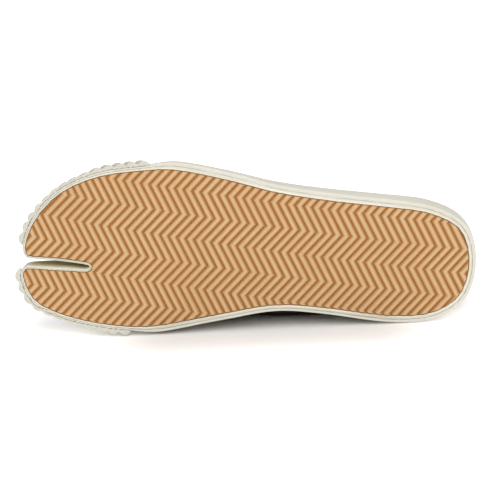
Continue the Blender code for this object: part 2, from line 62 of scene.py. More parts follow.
# Tread: a moulded panel of gum rubber with round herringbone ribs, glued into the frame of the sole
# board. The ribs run in zigzag rows across the foot, and the toes lift off the ground.
TREAD_TOP = 0.0033
TREAD_BLOCK_SPARE = 0.001
EDGE_DEPTH = 0.0011
EDGE_INSET = 0.0011
TOE_SPRING = 0.009
SPRING_START_X = 0.080
RIB_DEPTH = 0.0017
RIB_PITCH = 0.005145
RIB_ROWS = 72
STEPS_PER_RIB = 16
CHEVRON_WAVE = 0.029
CHEVRON_REACH = 0.0102
CHEVRON_HALF_WAVES = 12
CHEVRON_TURN = math.radians(8.2)
CHEVRON_POINT = Vector((0.1353, 0.0245, 0.0))
CHEVRON_BOW = 0.139
CHEVRON_BOW_X = 0.119
RIB_SECTION = ((0.0, 0.0), (0.2, 0.04), (0.4, 0.14), (0.58, 0.33), (0.72, 0.62), (0.84, 0.9), (1.0, 1.0))
FLAT_FACING = 0.9
FLAT_LEVEL = TREAD_TOP - 0.0003
GUM_CREST = (0.63, 0.435, 0.23, 1.0)
GUM_CREST_WARM = (0.60, 0.385, 0.19, 1.0)
# Painted shade: the flank and groove colours are darker than the gum itself. They stand in for the shade on
# the rib slopes and in the grooves.
GUM_FLANK_SHADE = (0.56, 0.335, 0.155, 1.0)
GUM_GROOVE_SHADE = (0.41, 0.16, 0.02, 1.0)
CREST_TO_FLANK = (0.0, 0.14)
FLANK_TO_GROOVE = (0.3, 1.0)
GUM_MOTTLE = 45.0
GUM_GLOSS_PATCHES = 300.0
GUM_GRAIN = 1600.0
GUM_GRAIN_DEPTH = 0.00012
TREAD_SHARP_ANGLE = math.radians(50)
MERGE_REACH = 1e-6


def merged_copy(node):
    """A node's mesh with its loose triangles joined, in the shoe's own axes."""
    bm = bmesh.new()
    bm.from_mesh(frame["nodes"][node].data)
    bmesh.ops.remove_doubles(bm, verts=bm.verts, dist=MERGE_REACH)
    bm.transform(floor_to_shoe)
    bm.normal_update()
    return bm


def spring_at(x):
    """How far the toe spring lifts the sole at x."""
    return TOE_SPRING * (max(0.0, SPRING_START_X - x) / SPRING_START_X) ** 2


def above_ground(place):
    """How high a point of the shoe is above the tread's lowest face."""
    return place.z - spring_at(place.x)


def ordered_loops(edges):
    """Closed loops of points along edges that meet end to end."""
    waiting = dict.fromkeys(edges)
    loops = []
    while waiting:
        edge = next(iter(waiting))
        del waiting[edge]
        start, here = edge.verts
        loop = [start.co.copy()]
        while here != start:
            loop.append(here.co.copy())
            edge = next(other for other in here.link_edges if other in waiting)
            del waiting[edge]
            here = edge.other_vert(here)
        loops.append(loop)
    return loops


def add_node(tree, kind, inputs=(), **settings):
    """A node with its options set, and its inputs filled or linked by name or number."""
    node = tree.nodes.new(kind)
    for setting, value in settings.items():
        setattr(node, setting, value)
    for key, value in dict(inputs).items():
        if isinstance(value, bpy.types.NodeSocket):
            tree.links.new(value, node.inputs[key])
        else:
            node.inputs[key].default_value = value
    return node


def calculate(tree, operation, first, second=0.0):
    """The result of a sum on two values or sockets."""
    return add_node(tree, "ShaderNodeMath", {0: first, 1: second}, operation=operation).outputs[0]


def parts_of(tree, vector):
    """The three parts of a vector."""
    return add_node(tree, "ShaderNodeSeparateXYZ", {0: vector}).outputs


def vector_from(tree, x=0.0, y=0.0, z=0.0):
    """A vector made from three parts."""
    return add_node(tree, "ShaderNodeCombineXYZ", {0: x, 1: y, 2: z}).outputs[0]


def new_tree(name, sizes):
    """A Geometry Nodes tree with a named input for each size and material."""
    tree = bpy.data.node_groups.new(name, "GeometryNodeTree")
    tree.interface.new_socket("Geometry", in_out="INPUT", socket_type="NodeSocketGeometry")
    for size, value in sizes.items():
        kind = {float: "Float", int: "Int", Vector: "Vector"}.get(type(value), "Material")
        tree.interface.new_socket(size, in_out="INPUT", socket_type="NodeSocket" + kind)
    tree.interface.new_socket("Geometry", in_out="OUTPUT", socket_type="NodeSocketGeometry")
    return tree, add_node(tree, "NodeGroupInput").outputs


def finish_tree(tree, geometry, material):
    """End a tree in real geometry with its material."""
    real = add_node(tree, "GeometryNodeRealizeInstances", {0: geometry}).outputs[0]
    painted = add_node(tree, "GeometryNodeSetMaterial", {"Geometry": real, "Material": material}).outputs[0]
    add_node(tree, "NodeGroupOutput", {0: painted})


def link_object(name, data):
    """A new object in the scene."""
    linked = bpy.data.objects.new(name, data)
    bpy.context.scene.collection.objects.link(linked)
    return linked


def plain_mesh(maker):
    """The mesh of an object with its modifiers applied. The object itself is removed."""
    depsgraph = bpy.context.evaluated_depsgraph_get()
    mesh = bpy.data.meshes.new_from_object(maker.evaluated_get(depsgraph))
    bpy.data.objects.remove(maker)
    return mesh


def grown_mesh(name, source, tree, sizes):
    """The plain mesh that a tree makes from source with its inputs set."""
    grower = link_object(name, source)
    modifier = grower.modifiers.new(tree.name, "NODES")
    modifier.node_group = tree
    for socket in tree.interface.items_tree:
        if socket.in_out == "INPUT" and socket.name in sizes:
            modifier[socket.identifier] = sizes[socket.name]
    mesh = plain_mesh(grower)
    mesh.name = name
    return mesh


def place_piece(name, mesh, node):
    """Link a finished mesh in the floor's frame, riding on the shoe in place of a node."""
    piece = link_object(name, mesh)
    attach(piece, "root")
    if node:
        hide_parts(node)


def paint(mesh, material):
    """Give all of a mesh one material."""
    mesh.materials.clear()
    mesh.materials.append(material)
    mesh.polygons.foreach_set("material_index", [0] * len(mesh.polygons))


def new_material(name, roughness, specular=0.5):
    """A material with its tree and shader."""
    material = bpy.data.materials.new(name)
    material.use_nodes = True
    shader = material.node_tree.nodes["Principled BSDF"]
    shader.inputs["Roughness"].default_value = roughness
    shader.inputs["Specular IOR Level"].default_value = specular
    return material, material.node_tree, shader


def own_place(tree):
    """The piece's own coordinates."""
    return add_node(tree, "ShaderNodeTexCoord").outputs["Object"]


def noise(tree, scale, detail=2.0):
    """Noise on the piece's own coordinates."""
    inputs = {"Vector": own_place(tree), "Scale": scale, "Detail": detail}
    return add_node(tree, "ShaderNodeTexNoise", inputs).outputs["Fac"]


def blend_colours(tree, share, first, second):
    """One colour turning into another by share."""
    mix = add_node(tree, "ShaderNodeMix", data_type="RGBA")
    for socket, value in (("Factor_Float", share), ("A_Color", first), ("B_Color", second)):
        target = next(entry for entry in mix.inputs if entry.identifier == socket)
        if isinstance(value, bpy.types.NodeSocket):
            tree.links.new(value, target)
        else:
            target.default_value = value
    return next(entry for entry in mix.outputs if entry.identifier == "Result_Color")


def spread(tree, value, low, high, to_low=0.0, to_high=1.0):
    """A value stretched from one range to another."""
    inputs = {"Value": value, "From Min": low, "From Max": high, "To Min": to_low, "To Max": to_high}
    return add_node(tree, "ShaderNodeMapRange", inputs).outputs[0]


def roughen(tree, shader, height, distance, strength=1.0):
    """Fine relief from a height, in metres."""
    bump = add_node(tree, "ShaderNodeBump", {"Height": height, "Distance": distance, "Strength": strength})
    tree.links.new(bump.outputs[0], shader.inputs["Normal"])


# The gum is painted darker down the rib flanks, and darker still in the grooves and on the bevelled rib
# ends at the rim. This is painted shade, on top of the real shading of the ribs. The lighter crests are
# partly wear.
gum, tree, shader = new_material("gum_tread", 0.5)
depth_shade_share = add_node(tree, "ShaderNodeAttribute", attribute_name="groove_shade").outputs["Fac"]
mottle = spread(tree, noise(tree, GUM_MOTTLE, 4.0), 0.35, 0.7)
crest_tone = blend_colours(tree, mottle, GUM_CREST, GUM_CREST_WARM)
flank_shade_tone = blend_colours(tree, spread(tree, depth_shade_share, *CREST_TO_FLANK), crest_tone, GUM_FLANK_SHADE)
gum_colour_and_shade = blend_colours(tree, spread(tree, depth_shade_share, *FLANK_TO_GROOVE), flank_shade_tone, GUM_GROOVE_SHADE)
tree.links.new(gum_colour_and_shade, shader.inputs["Base Color"])
patches = noise(tree, GUM_GLOSS_PATCHES, 3.0)
tree.links.new(spread(tree, patches, 0.3, 0.7, 0.42, 0.6), shader.inputs["Roughness"])
roughen(tree, shader, noise(tree, GUM_GRAIN, 3.0), GUM_GRAIN_DEPTH, 0.5)

bm = merged_copy("outsole")
flat_top = {
    face for face in bm.faces
    if face.normal.z > FLAT_FACING and all(above_ground(vert.co) > FLAT_LEVEL for vert in face.verts)
}
rim_edges = [edge for edge in bm.edges if sum(face in flat_top for face in edge.link_faces) == 1]
tread_outline = max(ordered_loops(rim_edges), key=len)
bm.free()
bm = bmesh.new()
pairs = zip(tread_outline, tread_outline[1:] + tread_outline[:1])
turning = math.copysign(1.0, sum(first.x * second.y - second.x * first.y for first, second in pairs))
rings = [[], [], []]
for i, point in enumerate(tread_outline):
    run = tread_outline[(i + 1) % len(tread_outline)] - tread_outline[i - 1]
    inwards = Vector((-run.y, run.x, 0.0)).normalized() * turning
    bevelled = point + inwards * EDGE_INSET
    rings[0].append(bm.verts.new((bevelled.x, bevelled.y, -TREAD_BLOCK_SPARE)))
    rings[1].append(bm.verts.new((point.x, point.y, EDGE_DEPTH)))
    rings[2].append(bm.verts.new((point.x, point.y, TREAD_TOP + TREAD_BLOCK_SPARE)))
for lower, upper in zip(rings, rings[1:]):
    for i in range(len(lower)):
        bm.faces.new((lower[i - 1], lower[i], upper[i], upper[i - 1]))
bm.faces.new(rings[0])
bm.faces.new(rings[2])
bmesh.ops.recalc_face_normals(bm, faces=bm.faces)
tread_block = bpy.data.meshes.new("tread_block")
bm.to_mesh(tread_block)
bm.free()

tread_sizes = {
    "Pitch": RIB_PITCH,
    "Rows": RIB_ROWS,
    "Wave": CHEVRON_WAVE,
    "Reach": CHEVRON_REACH,
    "Depth": RIB_DEPTH,
    "Turn": CHEVRON_TURN,
    "Point": CHEVRON_POINT,
    "Bow": CHEVRON_BOW,
    "Bow middle": CHEVRON_BOW_X,
    "Top": TREAD_TOP,
    "Toe spring": TOE_SPRING,
    "Spring start": SPRING_START_X,
    "Gum": gum,
}
tree, sizes = new_tree("herringbone ribs", tread_sizes)
half_wave = calculate(tree, "DIVIDE", sizes["Wave"], 2.0)
half_pitch = calculate(tree, "DIVIDE", sizes["Pitch"], 2.0)
grid = add_node(tree, "GeometryNodeMeshGrid", {
    "Size X": calculate(tree, "MULTIPLY", sizes["Pitch"], sizes["Rows"]),
    "Size Y": calculate(tree, "MULTIPLY", half_wave, CHEVRON_HALF_WAVES),
    "Vertices X": RIB_ROWS * STEPS_PER_RIB + 1,
    "Vertices Y": CHEVRON_HALF_WAVES + 1,
}).outputs[0]
flat = parts_of(tree, add_node(tree, "GeometryNodeInputPosition").outputs[0])
zigzag = calculate(tree, "DIVIDE", calculate(tree, "PINGPONG", flat["Y"], half_wave), half_wave)
along = calculate(tree, "ADD", flat["X"], calculate(tree, "MULTIPLY", zigzag, sizes["Reach"]))
from_crest = calculate(tree, "DIVIDE", calculate(tree, "PINGPONG", flat["X"], half_pitch), half_pitch)
section = add_node(tree, "ShaderNodeFloatCurve", {"Value": from_crest})
curve = section.mapping.curves[0]
curve.points[0].location = RIB_SECTION[0]
curve.points[1].location = RIB_SECTION[-1]
for point in RIB_SECTION[1:-1]:
    curve.points.new(*point)
section.mapping.update()
height = calculate(tree, "MULTIPLY", section.outputs[0], sizes["Depth"])
rib_turn = {"Vector": vector_from(tree, along, flat["Y"], height), "Angle": sizes["Turn"]}
turned = add_node(tree, "ShaderNodeVectorRotate", rib_turn, rotation_type="Z_AXIS").outputs[0]
moved = add_node(tree, "ShaderNodeVectorMath", {0: turned, 1: sizes["Point"]}, operation="ADD").outputs[0]
straight = parts_of(tree, moved)
from_bow_middle = calculate(tree, "SUBTRACT", straight["X"], sizes["Bow middle"])
bow = calculate(tree, "MULTIPLY", calculate(tree, "POWER", from_bow_middle, 2.0), sizes["Bow"])
bowed = vector_from(tree, straight["X"], calculate(tree, "SUBTRACT", straight["Y"], bow), straight["Z"])
ribbed = add_node(tree, "GeometryNodeSetPosition", {"Geometry": grid, "Position": bowed}).outputs[0]
upwards = add_node(tree, "FunctionNodeInputVector", vector=(0.0, 0.0, 1.0)).outputs[0]
thick = add_node(tree, "GeometryNodeExtrudeMesh", {
    "Mesh": ribbed, "Offset": upwards, "Offset Scale": sizes["Top"], "Individual": False
})
here = parts_of(tree, add_node(tree, "GeometryNodeInputPosition").outputs[0])
levelled = add_node(tree, "GeometryNodeSetPosition", {
    "Geometry": thick.outputs["Mesh"],
    "Selection": thick.outputs["Top"],
    "Position": vector_from(tree, here["X"], here["Y"], sizes["Top"]),
})
underside = add_node(tree, "GeometryNodeFlipFaces", {"Mesh": ribbed}).outputs[0]
slab = add_node(tree, "GeometryNodeJoinGeometry")
for side in (levelled.outputs[0], underside):
    tree.links.new(side, slab.inputs[0])
joint = {"Geometry": slab.outputs[0], "Distance": MERGE_REACH}
closed = add_node(tree, "GeometryNodeMergeByDistance", joint).outputs[0]
trimmed = add_node(tree, "GeometryNodeMeshBoolean", operation="INTERSECT", solver="EXACT")
for solid in (closed, sizes["Geometry"]):
    tree.links.new(solid, trimmed.inputs[1])
ahead = calculate(tree, "MAXIMUM", calculate(tree, "SUBTRACT", sizes["Spring start"], here["X"]))
spring_share = calculate(tree, "POWER", calculate(tree, "DIVIDE", ahead, sizes["Spring start"]), 2.0)
spring_lift = vector_from(tree, z=calculate(tree, "MULTIPLY", spring_share, sizes["Toe spring"]))
lifting = {"Geometry": trimmed.outputs[0], "Offset": spring_lift}
sprung = add_node(tree, "GeometryNodeSetPosition", lifting).outputs[0]
finish_tree(tree, sprung, sizes["Gum"])

tread_mesh = grown_mesh("tread", tread_block, tree, tread_sizes)
# Painted shade: each point's depth below the rib tops darkens the gum's colour in the grooves and on the
# bevelled rib ends.
groove_shade = tread_mesh.attributes.new("groove_shade", "FLOAT", "POINT")
depths = [above_ground(vert.co) / RIB_DEPTH for vert in tread_mesh.vertices]
groove_shade.data.foreach_set("value", np.clip(depths, 0.0, 1.0))
tread_mesh.transform(shoe_to_floor)
paint(tread_mesh, gum)
tread_mesh.shade_smooth()
tread_mesh.set_sharp_from_angle(angle=TREAD_SHARP_ANGLE)
place_piece("tread", tread_mesh, "outsole")


# Sole board: a firm ivory rubber board under the whole foot. Its rim stands round the tread like a frame,
# with a rolled inner lip, and everything else is glued to it. A painted highlight runs along the inner lip.
IVORY_PALE = (0.68, 0.65, 0.545, 1.0)
IVORY_WARM = (0.63, 0.595, 0.485, 1.0)
LIP_PAINTED_HIGHLIGHT = (0.80, 0.77, 0.66, 1.0)
LIP_START = 0.0003
LIP_WIDTH = 0.0009
RIM_ROUNDING = 0.00015
ROUNDING_ANGLE = math.radians(28)
FLAT_ANGLE = math.radians(1.0)
RUBBER_MOTTLE = 30.0
RUBBER_GLOSS_PATCHES = 160.0
RUBBER_GRAIN = 1100.0
RUBBER_GRAIN_DEPTH = 0.0001


def ivory_rubber(name, pale, warm, painted_light_tone):
    """Smooth moulded rubber, a little uneven in tone and gloss, with a second tone of painted light laid
    where the part attribute marks it: a painted highlight on the board's lip, painted shade in the toe slot
    and between the strips' ribs.
    """
    material, tree, shader = new_material(name, 0.5, 0.45)
    tone = blend_colours(tree, spread(tree, noise(tree, RUBBER_MOTTLE, 5.0), 0.3, 0.72), pale, warm)
    part = add_node(tree, "ShaderNodeAttribute", attribute_name="part").outputs["Fac"]
    tree.links.new(blend_colours(tree, part, tone, painted_light_tone), shader.inputs["Base Color"])
    patches = noise(tree, RUBBER_GLOSS_PATCHES, 3.0)
    tree.links.new(spread(tree, patches, 0.3, 0.7, 0.42, 0.58), shader.inputs["Roughness"])
    roughen(tree, shader, noise(tree, RUBBER_GRAIN, 4.0), RUBBER_GRAIN_DEPTH, 0.35)
    return material


def skin_of(mesh):
    """A mesh as a surface that other pieces can be laid against."""
    return BVHTree.FromPolygons(
        [vert.co[:] for vert in mesh.vertices], [face.vertices[:] for face in mesh.polygons]
    )


def rounded_copy(node, width, segments=2):
    """A node's mesh with its sharp edges rounded off."""
    bm = merged_copy(node)
    bmesh.ops.dissolve_limit(bm, angle_limit=FLAT_ANGLE, verts=bm.verts, edges=bm.edges)
    bm.transform(shoe_to_floor)
    mesh = bpy.data.meshes.new(node + "_rounded")
    bm.to_mesh(mesh)
    bm.free()
    rounder = link_object(node + "_rounder", mesh)
    bevel = rounder.modifiers.new("rounding", "BEVEL")
    bevel.width = width
    bevel.segments = segments
    bevel.limit_method = "ANGLE"
    bevel.angle_limit = ROUNDING_ANGLE
    mesh = plain_mesh(rounder)
    mesh.shade_smooth()
    mesh.set_sharp_from_angle(angle=ROUNDING_ANGLE)
    return mesh


ivory = ivory_rubber("ivory_sole", IVORY_PALE, IVORY_WARM, LIP_PAINTED_HIGHLIGHT)
board_mesh = rounded_copy("midsole", RIM_ROUNDING)
paint(board_mesh, ivory)
tread_wall = skin_of(tread_block)
# Painted highlight: the board is painted lighter in a narrow band next to the tread.
lip_highlight_shares = []
for vert in board_mesh.vertices:
    place = floor_to_shoe @ vert.co
    away = tread_wall.find_nearest(Vector((place.x, place.y, TREAD_TOP / 2)))[3]
    lip_highlight_shares.append(min(1.0, max(0.0, 1.0 - (away - LIP_START) / LIP_WIDTH)))
board_mesh.attributes.new("part", "FLOAT", "POINT").data.foreach_set("value", lip_highlight_shares)
place_piece("sole_board", board_mesh, "midsole")


# Side tape: a strip of ivory rubber glued round the edge of the board and the foot of the upper, and
# through the toe slot. It was wrapped by hand and cured with the shoe, so its edges are soft.
TAPE_LEVELS = 2
TAPE_GAP = 0.0003
TAPE_GLUE_REACH = 0.0016
GLUE_LINE = 0.00002
TAPE_BOTTOM = 0.0009
TAPE_DROP = 0.0003
DROP_REACH = 0.0012
FLAT_REACH = 0.0007
FLATTENING = 0.8
JOIN_ANGLE = math.radians(60)
SEAM_TOP = 0.0013
SEAM_REACH = 0.0012
SEAM_CLOSED = 0.0007
TAPE_SEAM_OPEN = 0.0002
SEAM_WAVES = 1900.0
# Painted shade: inside the toe slot the tape is painted a darker olive, more so further up from the sole.
SLOT_MIDDLE_Y = 0.0065
SLOT_HALF_WIDTH = 0.0055
SLOT_ROOT_X = 0.048
SLOT_MOUTH_X = 0.008
SLOT_SHADE_START = 0.0005
SLOT_SHADE_FADE = 0.0035
SLOT_PAINTED_SHADE = (0.64, 0.58, 0.36, 1.0)
TAPE_PALE = (0.70, 0.675, 0.585, 1.0)
TAPE_WARM = (0.65, 0.62, 0.53, 1.0)


def quad_mesh(node):
    """A node's mesh in four-sided faces, in the shoe's own axes."""
    bm = merged_copy(node)
    bmesh.ops.join_triangles(
        bm, faces=bm.faces, angle_face_threshold=JOIN_ANGLE, angle_shape_threshold=JOIN_ANGLE
    )
    bm.normal_update()
    return bm


def smoothed(bm, name, levels, keep_points=0):
    """A subdivided mesh in the floor's frame. It is drawn back onto its own points keep_points times."""
    mesh = bpy.data.meshes.new(name)
    bm.to_mesh(mesh)
    bm.free()
    mesh.transform(shoe_to_floor)
    smoother = link_object(name, mesh)
    subdivision = smoother.modifiers.new("smooth", "SUBSURF")
    subdivision.levels = levels
    subdivision.render_levels = levels
    aim = np.array([vert.co[:] for vert in mesh.vertices])
    for _ in range(keep_points):
        depsgraph = bpy.context.evaluated_depsgraph_get()
        smooth_points = smoother.evaluated_get(depsgraph).data.vertices[:len(aim)]
        reached = np.array([vert.co[:] for vert in smooth_points])
        now = np.array([vert.co[:] for vert in mesh.vertices])
        mesh.vertices.foreach_set("co", (now + aim - reached).ravel())
        mesh.update()
    result = plain_mesh(smoother)
    result.shade_smooth()
    return result


def glue_down(mesh, skin, gap, reach):
    """Draw the side of a mesh that faces a skin up against it, less and less up to reach away."""
    for vert in mesh.vertices:
        place, _, _, away = skin.find_nearest(vert.co, reach)
        if place and away > GLUE_LINE:
            fade = min(1.0, (reach - away) / (reach - gap))
            vert.co += (place - vert.co) * min(gap * fade, away - GLUE_LINE) / away


def close_seam(mesh, skin, opening):
    """Press the lower edge of a mesh against a skin, so that only a fine line is left between them."""
    for vert in mesh.vertices:
        if above_ground(floor_to_shoe @ vert.co) < SEAM_TOP:
            place, _, _, away = skin.find_nearest(vert.co, SEAM_REACH)
            if place and away > GLUE_LINE:
                share = min(1.0, (SEAM_REACH - away) / (SEAM_REACH - SEAM_CLOSED))
                wave = math.sin(SEAM_WAVES * place.x) * math.cos(SEAM_WAVES * place.z)
                left_open = min(away, GLUE_LINE + opening * (1.0 + wave) / 2)
                vert.co += (place - vert.co) * share * (1.0 - left_open / away)


def settle(mesh):
    """Let the lower edge of a mesh down to the level of the sole's rim, and flatten it there."""
    down = shoe_turn @ Vector((0.0, 0.0, -1.0))
    for vert in mesh.vertices:
        place = floor_to_shoe @ vert.co
        height = above_ground(place) - TAPE_BOTTOM
        drop = TAPE_DROP * min(1.0, max(0.0, 1.0 - height / DROP_REACH))
        if height < FLAT_REACH:
            drop = TAPE_DROP + FLATTENING * height
        vert.co += down * drop


tape_mesh = smoothed(quad_mesh("foxing"), "side_tape", TAPE_LEVELS, 1)
settle(tape_mesh)
board_skin = skin_of(board_mesh)
glue_down(tape_mesh, board_skin, TAPE_GAP, TAPE_GLUE_REACH)
close_seam(tape_mesh, board_skin, TAPE_SEAM_OPEN)
tape_ivory = ivory_rubber("tape_ivory", TAPE_PALE, TAPE_WARM, SLOT_PAINTED_SHADE)
paint(tape_mesh, tape_ivory)
# Painted shade in the toe slot: the share grows with height above the sole, between the slot's mouth and
# root.
slot_shade_shares = []
for vert in tape_mesh.vertices:
    place = floor_to_shoe @ vert.co
    inside = SLOT_MOUTH_X < place.x < SLOT_ROOT_X and abs(place.y - SLOT_MIDDLE_Y) < SLOT_HALF_WIDTH
    depth = (above_ground(place) - SLOT_SHADE_START) / SLOT_SHADE_FADE
    slot_shade_shares.append(min(1.0, max(0.0, depth)) if inside else 0.0)
tape_mesh.attributes.new("part", "FLOAT", "POINT").data.foreach_set("value", slot_shade_shares)
place_piece("side_tape", tape_mesh, "foxing")


# Toe strips: ribbed ivory rubber bumpers, moulded flat and glued over the tape round the outer toes
# and round the big toe. Their ribs are round, lean a little, and stretch flatter round the front.
STRIP_LEVELS = 2
STRIP_GAP = 0.0004
STRIP_GLUE_REACH = 0.0025
STRIP_SEAM_OPEN = 0.0005
# Painted shade: the valleys between the strips' ribs are painted darker. Under the big toe, where the strip
# faces the floor, they are painted much darker, as painted shadow. The strips' lower edges are kept free of
# it.
STRIP_VALLEY_SHADE = (0.50, 0.475, 0.39, 1.0)
BIG_TOE_VALLEY_SHADOW = (0.24, 0.225, 0.17, 1.0)
VALLEY_TOP = 0.0021
VALLEY_FADE = 0.0009
STRIP_BASE = 0.0013
UNSHADED_EDGE = 0.0018
UNSHADED_FADE = 0.002
STRIP_PALE = (0.625, 0.605, 0.525, 1.0)
STRIP_WARM = (0.57, 0.55, 0.47, 1.0)
FLATTER_FROM_X = 0.004
FLATTER_TO_X = 0.050
FLATTER_FADE = 0.012
FLATTER_SHARE = 0.65


def flatten_ribs(mesh, skin):
    """Press the rib tops of a strip down round the front of the toes."""
    for vert in mesh.vertices:
        place = floor_to_shoe @ vert.co
        fade = min(place.x - FLATTER_FROM_X, FLATTER_TO_X - place.x) / FLATTER_FADE
        foot, _, _, proud = skin.find_nearest(vert.co)
        if fade > 0 and proud > STRIP_BASE:
            pressed = (proud - STRIP_BASE) * FLATTER_SHARE * min(1.0, fade)
            vert.co += (foot - vert.co) * pressed / proud


tape_skin = skin_of(tape_mesh)
for node, name, valley_shade in (
    ("toe_bumper_outer", "outer_toe_strip", STRIP_VALLEY_SHADE),
    ("toe_bumper_inner", "big_toe_strip", BIG_TOE_VALLEY_SHADOW),
):
    strip_mesh = smoothed(quad_mesh(node), name, STRIP_LEVELS, 2)
    settle(strip_mesh)
    glue_down(strip_mesh, tape_skin, STRIP_GAP, STRIP_GLUE_REACH)
    close_seam(strip_mesh, tape_skin, STRIP_SEAM_OPEN)
    paint(strip_mesh, ivory_rubber(name + "_ivory", STRIP_PALE, STRIP_WARM, valley_shade))
    # Painted shade in the rib valleys: the share is high where the strip stands low over the tape, and
    # fades out towards the strip's lower edge.
    proud = np.array([tape_skin.find_nearest(vert.co)[3] for vert in strip_mesh.vertices])
    valley_shades = np.clip((VALLEY_TOP - proud) / VALLEY_FADE, 0.0, 1.0)
    heights = np.array([above_ground(floor_to_shoe @ vert.co) for vert in strip_mesh.vertices])
    valley_shades *= np.clip((heights - UNSHADED_EDGE) / UNSHADED_FADE, 0.0, 1.0)
    flatten_ribs(strip_mesh, tape_skin)
    strip_mesh.attributes.new("part", "FLOAT", "POINT").data.foreach_set("value", valley_shades)
    place_piece(name, strip_mesh, node)


# Upper: black leather with a cloth lining, pulled over the last and closed behind the toe slot. The
# collar's edge is turned in, and the leather has creased a little where the toes bend.
UPPER_LEVELS = 2
LEATHER_BLACK = (0.018, 0.0155, 0.014, 1.0)
LEATHER_WORN = (0.033, 0.028, 0.0245, 1.0)
LINING_LIGHT = (0.42, 0.385, 0.32, 1.0)
LINING_DARK = (0.385, 0.35, 0.29, 1.0)
LEATHER_WEAR = 28.0
LEATHER_GLOSS_PATCHES = 90.0
LEATHER_PEBBLES = 900.0
LEATHER_PORES = 2400.0
LEATHER_GRAIN_DEPTH = 0.00018
LINING_WEAVE = 275.0
LINING_WEAVE_DEPTH = 0.0001
SKIN_CLEARANCE = 0.0003
COLLAR_LOWEST = 0.045
STITCHED_FACING = 0.8
FOOT_MIDDLE = (
    Vector((0.250, 0.004, 0.030)),
    Vector((0.200, 0.003, 0.035)),
    Vector((0.150, 0.000, 0.035)),
    Vector((0.110, -0.002, 0.030)),
    Vector((0.080, -0.012, 0.024)),
    Vector((0.080, 0.012, 0.024)),
    Vector((0.052, -0.020, 0.021)),
    Vector((0.030, -0.018, 0.020)),
    Vector((0.052, 0.025, 0.021)),
    Vector((0.030, 0.022, 0.020)),
)
NEAREST_MIDDLES = 3
RIM_ANGLE = math.radians(60)
CREASES = (
    {"x": 0.083, "bend": 4.0, "width": 0.0028, "depth": 0.0007},
    {"x": 0.092, "bend": 3.0, "width": 0.0032, "depth": 0.0009},
    {"x": 0.102, "bend": 2.5, "width": 0.0030, "depth": 0.0006},
)
CREASE_LOW = 0.030
CREASE_HIGH = 0.044
RUBBED_START_Y = 0.006
RUBBED_FULL_Y = 0.026
RUBBED_DULLNESS = 0.45


def weave(tree, fineness, second_axis):
    """How high the crossing threads of a cloth stand."""
    inputs = {"Vector": own_place(tree), "Scale": fineness}
    warp = add_node(tree, "ShaderNodeTexWave", inputs, bands_direction="X").outputs["Fac"]
    weft = add_node(tree, "ShaderNodeTexWave", inputs, bands_direction=second_axis).outputs["Fac"]
    return calculate(tree, "MULTIPLY", warp, weft)


leather, tree, shader = new_material("smooth_leather", 0.45, 0.2)
wear = spread(tree, noise(tree, LEATHER_WEAR, 5.0), 0.42, 0.75)
tree.links.new(blend_colours(tree, wear, LEATHER_BLACK, LEATHER_WORN), shader.inputs["Base Color"])
patches = spread(tree, noise(tree, LEATHER_GLOSS_PATCHES, 4.0), 0.3, 0.7, 0.36, 0.5)
rubbed = add_node(tree, "ShaderNodeAttribute", attribute_name="rubbed").outputs["Fac"]
dullness = calculate(tree, "MULTIPLY", rubbed, RUBBED_DULLNESS)
tree.links.new(calculate(tree, "ADD", patches, dullness), shader.inputs["Roughness"])
pebbling = {"Vector": own_place(tree), "Scale": LEATHER_PEBBLES}
pebbles = add_node(tree, "ShaderNodeTexVoronoi", pebbling, feature="SMOOTH_F1")
pebbles.inputs["Smoothness"].default_value = 0.6
pores = calculate(tree, "MULTIPLY", noise(tree, LEATHER_PORES), 0.4)
grain = calculate(tree, "ADD", pebbles.outputs["Distance"], pores)
roughen(tree, shader, grain, LEATHER_GRAIN_DEPTH, 0.55)

lining, tree, shader = new_material("lining_cloth", 0.9, 0.2)
threads = weave(tree, LINING_WEAVE, "Y")
tree.links.new(blend_colours(tree, threads, LINING_DARK, LINING_LIGHT), shader.inputs["Base Color"])
roughen(tree, shader, threads, LINING_WEAVE_DEPTH, 0.5)

bm = quad_mesh("upper")
shell = BVHTree.FromBMesh(bm)
for face in bm.faces:
    middle = face.calc_center_median()
    outside = middle + face.normal * SKIN_CLEARANCE
    near = sorted(FOOT_MIDDLE, key=lambda point: (point - middle).length)[:NEAREST_MIDDLES]
    ways = [point - outside for point in near]
    open_ways = [way for way in ways if way.dot(face.normal) > 0]
    seen = any(shell.ray_cast(outside, way, way.length)[0] is None for way in open_ways)
    face.material_index = int(seen)
unsorted = set(bm.faces)
while unsorted:
    side = [unsorted.pop()]
    for face in side:
        bends = [edge for edge in face.edges if edge.calc_face_angle(math.pi) < RIM_ANGLE]
        found = {other for edge in bends for other in edge.link_faces} & unsorted
        unsorted -= found
        side += found
    inside = sum(face.calc_area() * (2 * face.material_index - 1) for face in side) > 0
    for face in side:
        face.material_index = int(inside)
turned_edges = [
    edge for edge in bm.edges
    if len({face.material_index for face in edge.link_faces}) == 2
    and min(vert.co.z for vert in edge.verts) > COLLAR_LOWEST
]
collar_line = max(ordered_loops(turned_edges), key=len)
upper_mesh = smoothed(bm, "upper_leather", UPPER_LEVELS, 1)
upper_mesh.materials.append(leather)
upper_mesh.materials.append(lining)
upper_mesh.transform(floor_to_shoe)
places = np.array([vert.co[:] for vert in upper_mesh.vertices])
rubbing = np.clip((places[:, 1] - RUBBED_START_Y) / (RUBBED_FULL_Y - RUBBED_START_Y), 0.0, 1.0)
upper_mesh.attributes.new("rubbed", "FLOAT", "POINT").data.foreach_set("value", rubbing)
on_top = np.clip((places[:, 2] - CREASE_LOW) / (CREASE_HIGH - CREASE_LOW), 0.0, 1.0)
